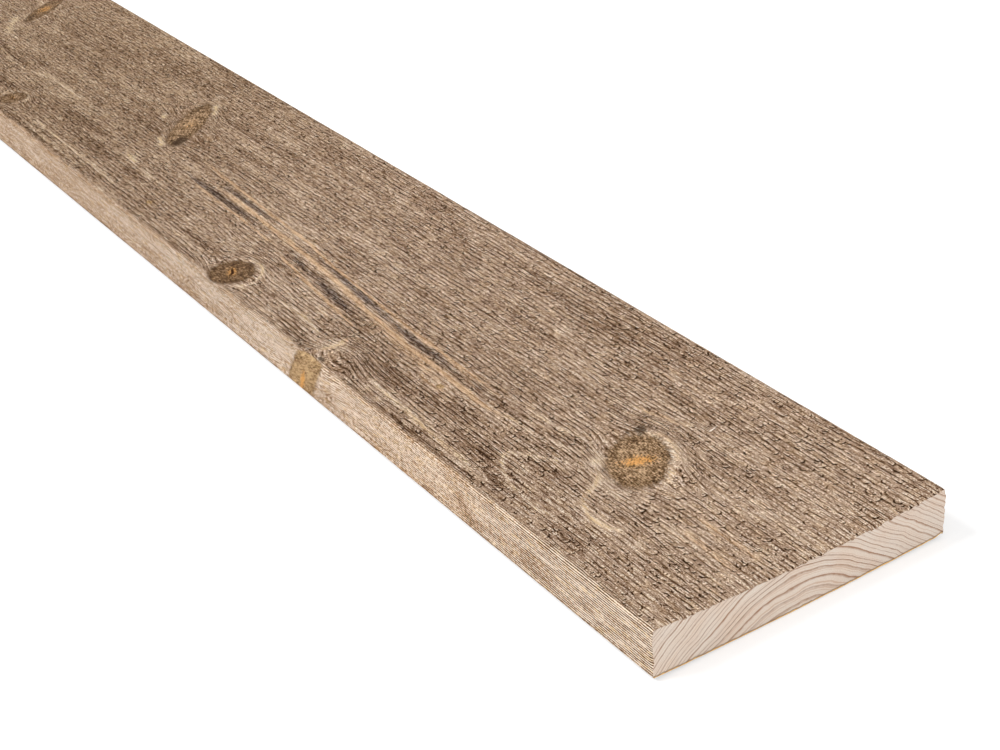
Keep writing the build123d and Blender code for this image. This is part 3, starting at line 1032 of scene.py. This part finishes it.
def raised_fibres():
    """Splinters that the saw lifted: each a three-sided spike, rooted in the skin, whose line rises as
    lift * t^2 along its length and bends aside by bow * t^2."""
    rng = np.random.default_rng(7)
    highest = back_crown + edge_thickness - fibre_headroom
    face_columns = np.flatnonzero(loop_kind == "face")
    weight = 0.35 + 1.6 * dark[:, face_columns] + 0.4 * (back[:, face_columns] < 860.0)
    weight = np.where(reach[:, face_columns] < 1.15, 0.0, weight)
    spacing = np.gradient(rows)[:, None]
    odds = (weight * spacing).ravel()
    picks = rng.choice(odds.size, size=fibre_count, p=odds / odds.sum())
    row, column = np.divmod(picks, len(face_columns))
    column = face_columns[column]
    aside, ahead = fibre_margins
    inboard = (over[row, column] > aside) & (over[row, column] < width - aside)
    inboard &= (rows[row] > ahead) & (rows[row] < length - ahead)
    row, column = row[inboard], column[inboard]
    # The last one is the long white splinter that lies across the grain, where the photograph shows it
    row = np.append(row, np.argmin(np.abs(rows - white_splinter["back"])))
    beside = loop[face_columns, 0] + half_width - white_splinter["over"]
    column = np.append(column, face_columns[np.argmin(np.abs(beside))])
    count = len(row)
    root = skin[row, column]
    # Each is 1.2 to 4.4 mm long and 0.14 to 0.3 mm thick, and its tip stands 0.1 to 0.5 mm up
    size = 1.2 + 3.2 * rng.random(count) ** 2
    thick = 0.14 + 0.16 * rng.random(count)
    heading = np.where(rng.random(count) < 0.5, 1.0, -1.0)
    aside = rng.normal(0.0, 0.22, count)
    lift = 0.08 + 0.42 * rng.random(count) ** 2
    bow = rng.normal(0.0, 0.35, count)
    size[-1], thick[-1], heading[-1] = white_splinter["run"], white_splinter["thick"], -1.0
    aside[-1], lift[-1], bow[-1] = white_splinter["slant"], white_splinter["lift"], 0.0
    t = np.array([0.0, 0.5, 1.0])
    run = size[:, None] * t
    length_run = size * np.hypot(1.0, aside)
    lifted = lift[:, None] * t ** 2 * np.minimum(1.0, length_run[:, None] / 2.5) + 0.02
    line = np.stack([
        root[:, None, 0] + heading[:, None] * run,
        root[:, None, 1] + aside[:, None] * run + bow[:, None] * t ** 2,
        np.minimum(root[:, None, 2] + lifted, highest),
    ], axis=-1)
    taper = np.array([1.0, 0.75, 0.0])
    angle = TURN * (np.arange(3) / 3.0 + 0.25)
    ring_y = np.cos(angle)
    ring_z = 0.6 * np.sin(angle)
    body = line[:, :2, None, :].repeat(3, axis=2)
    turned = np.hypot(1.0, aside)[:, None, None]
    tapered = thick[:, None, None] * taper[None, :2, None]
    broad = tapered * ring_y / turned
    body[..., 0] -= broad * (heading * aside)[:, None, None]
    body[..., 1] += broad
    body[..., 2] += tapered * ring_z
    points = np.concatenate([body.reshape(count, 6, 3), line[:, 2:3]], axis=1)
    base = np.array([[0, 1, 4], [0, 4, 3], [1, 2, 5], [1, 5, 4], [2, 0, 3], [2, 3, 5],
                     [3, 4, 6], [4, 5, 6], [5, 3, 6], [2, 1, 0]])
    flipped = base[:, ::-1]
    faces = np.where(heading[:, None, None] < 0.0, base, flipped) + 7 * np.arange(count)[:, None, None]
    shade = 0.9 * rng.random(count)
    shade[-1] = 1.0
    shade = shade.repeat(7)
    piece = make_piece("raised_fibres", points.reshape(-1, 3), faces.reshape(-1, 3), None, {"shade": shade},
                       (lifted_fibre(),))
    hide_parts("board")
    return piece


def lifted_fibre():
    """Spruce fibre torn up by the saw, some of it stained and some left bare. It gives the eye pale
    hairs."""
    material, tree, shader = blank_material("lifted_spruce_fibre")
    shade = add(tree, "Attribute", {}, "Fac", attribute_name="shade")
    colour = add(tree, "ValToRGB", {"Fac": shade}, "Color", stops=(
        (0.0, "#86694E"), (0.55, "#B2967A"), (0.9, "#D3BDA1"), (1.0, "#FFF6EA")))
    finish_shader(tree, shader, colour, 0.85, 0.25)
    return material


raised_fibres()

# Stage: a pale floor that keeps the board's soft shadow, and a white backdrop for the camera
floor_reach = 14.0
floor_glow = 0.49
sky_light = 0.55


def seen_by_camera(tree):
    """1 for a ray that comes to the camera straight, or by way of gloss or glass, and 0 for the others."""
    rays = add(tree, "LightPath", {}, None).outputs
    shown = add(tree, "Math", (rays["Is Camera Ray"], rays["Is Glossy Ray"]), operation="MAXIMUM")
    return add(tree, "Math", (shown, rays["Is Transmission Ray"]), operation="MAXIMUM")


def standing(x, y, z, place):
    """The matrix of an object with these three axes, and with its origin at place."""
    return Matrix([[x[i], y[i], z[i], place[i]] for i in range(3)] + [[0.0, 0.0, 0.0, 1.0]])


floor_mesh = bpy.data.meshes.new("studio_floor")
floor_corners = [(-floor_reach, -floor_reach, 0.0), (floor_reach, -floor_reach, 0.0),
                 (floor_reach, floor_reach, 0.0), (-floor_reach, floor_reach, 0.0)]
floor_mesh.from_pydata(floor_corners, [], [(0, 1, 2, 3)])
floor = bpy.data.objects.new("studio_floor", floor_mesh)
bpy.context.scene.collection.objects.link(floor)
floor_material, floor_tree, floor_shader = blank_material("white_studio_paper")
floor_shader.inputs["Base Color"].default_value = linear("#D9D9D9")
floor_shader.inputs["Roughness"].default_value = 1.0
floor_shader.inputs["Specular IOR Level"].default_value = 0.0
glow = add(floor_tree, "Math", (seen_by_camera(floor_tree), floor_glow), operation="MULTIPLY")
floor_shader.inputs["Emission Color"].default_value = (1.0, 1.0, 1.0, 1.0)
floor_tree.links.new(glow, floor_shader.inputs["Emission Strength"])
floor_mesh.materials.append(floor_material)

world = bpy.data.worlds.new("studio")
bpy.context.scene.world = world
world.use_nodes = True
world_tree = world.node_tree
world_tree.nodes.clear()
strength = add(world_tree, "MapRange", (seen_by_camera(world_tree), 0.0, 1.0, sky_light, 1.0))
backdrop = add(world_tree, "Background", {"Color": (1.0, 1.0, 1.0, 1.0), "Strength": strength})
add(world_tree, "OutputWorld", {"Surface": backdrop}, None)

# Two soft lamps: the key from the left and in front grazes the ribs, the other fills the sawn end
for name, strength, softness, direction in (
        ("key_lamp", 1.75, 22.0, (-0.45, -0.75, 0.95)),
        ("fill_lamp", 0.85, 60.0, (0.95, -0.35, 0.55))):
    lamp = bpy.data.lights.new(name, "SUN")
    lamp.energy = strength
    lamp.angle = math.radians(softness)
    holder = bpy.data.objects.new(name, lamp)
    towards = np.array(direction) / np.linalg.norm(direction)
    side = np.cross((0.0, 0.0, 1.0), towards)
    side = side / np.linalg.norm(side)
    holder.matrix_world = standing(side, np.cross(towards, side), towards, (0.0, 0.0, 0.0))
    bpy.context.scene.collection.objects.link(holder)

# The camera stands where the photograph was taken from, worked out from the board's own lines
camera_place = (1.6000, -0.3774, 0.4177)
camera_heading = math.radians(148.059)
camera_dip = math.radians(29.832)
camera_roll = math.radians(3.792)
image_width = 1000.0
focal_pixels = 1797.8
sensor = 36.0
ahead = np.array([math.cos(camera_heading) * math.cos(camera_dip),
                  math.sin(camera_heading) * math.cos(camera_dip), -math.sin(camera_dip)])
level = np.array([math.sin(camera_heading), -math.cos(camera_heading), 0.0])
down = np.cross(ahead, level)
right = math.cos(camera_roll) * level + math.sin(camera_roll) * down
below = -math.sin(camera_roll) * level + math.cos(camera_roll) * down
camera_data = bpy.data.cameras.new("camera")
camera_data.sensor_width = sensor
camera_data.lens = focal_pixels / image_width * sensor
camera_data.clip_start = 0.01
camera_data.clip_end = 100.0
camera = bpy.data.objects.new("camera", camera_data)
camera.matrix_world = standing(right, -below, -ahead, camera_place)
bpy.context.scene.collection.objects.link(camera)
bpy.context.scene.camera = camera

bpy.context.scene.view_settings.view_transform = "Standard"
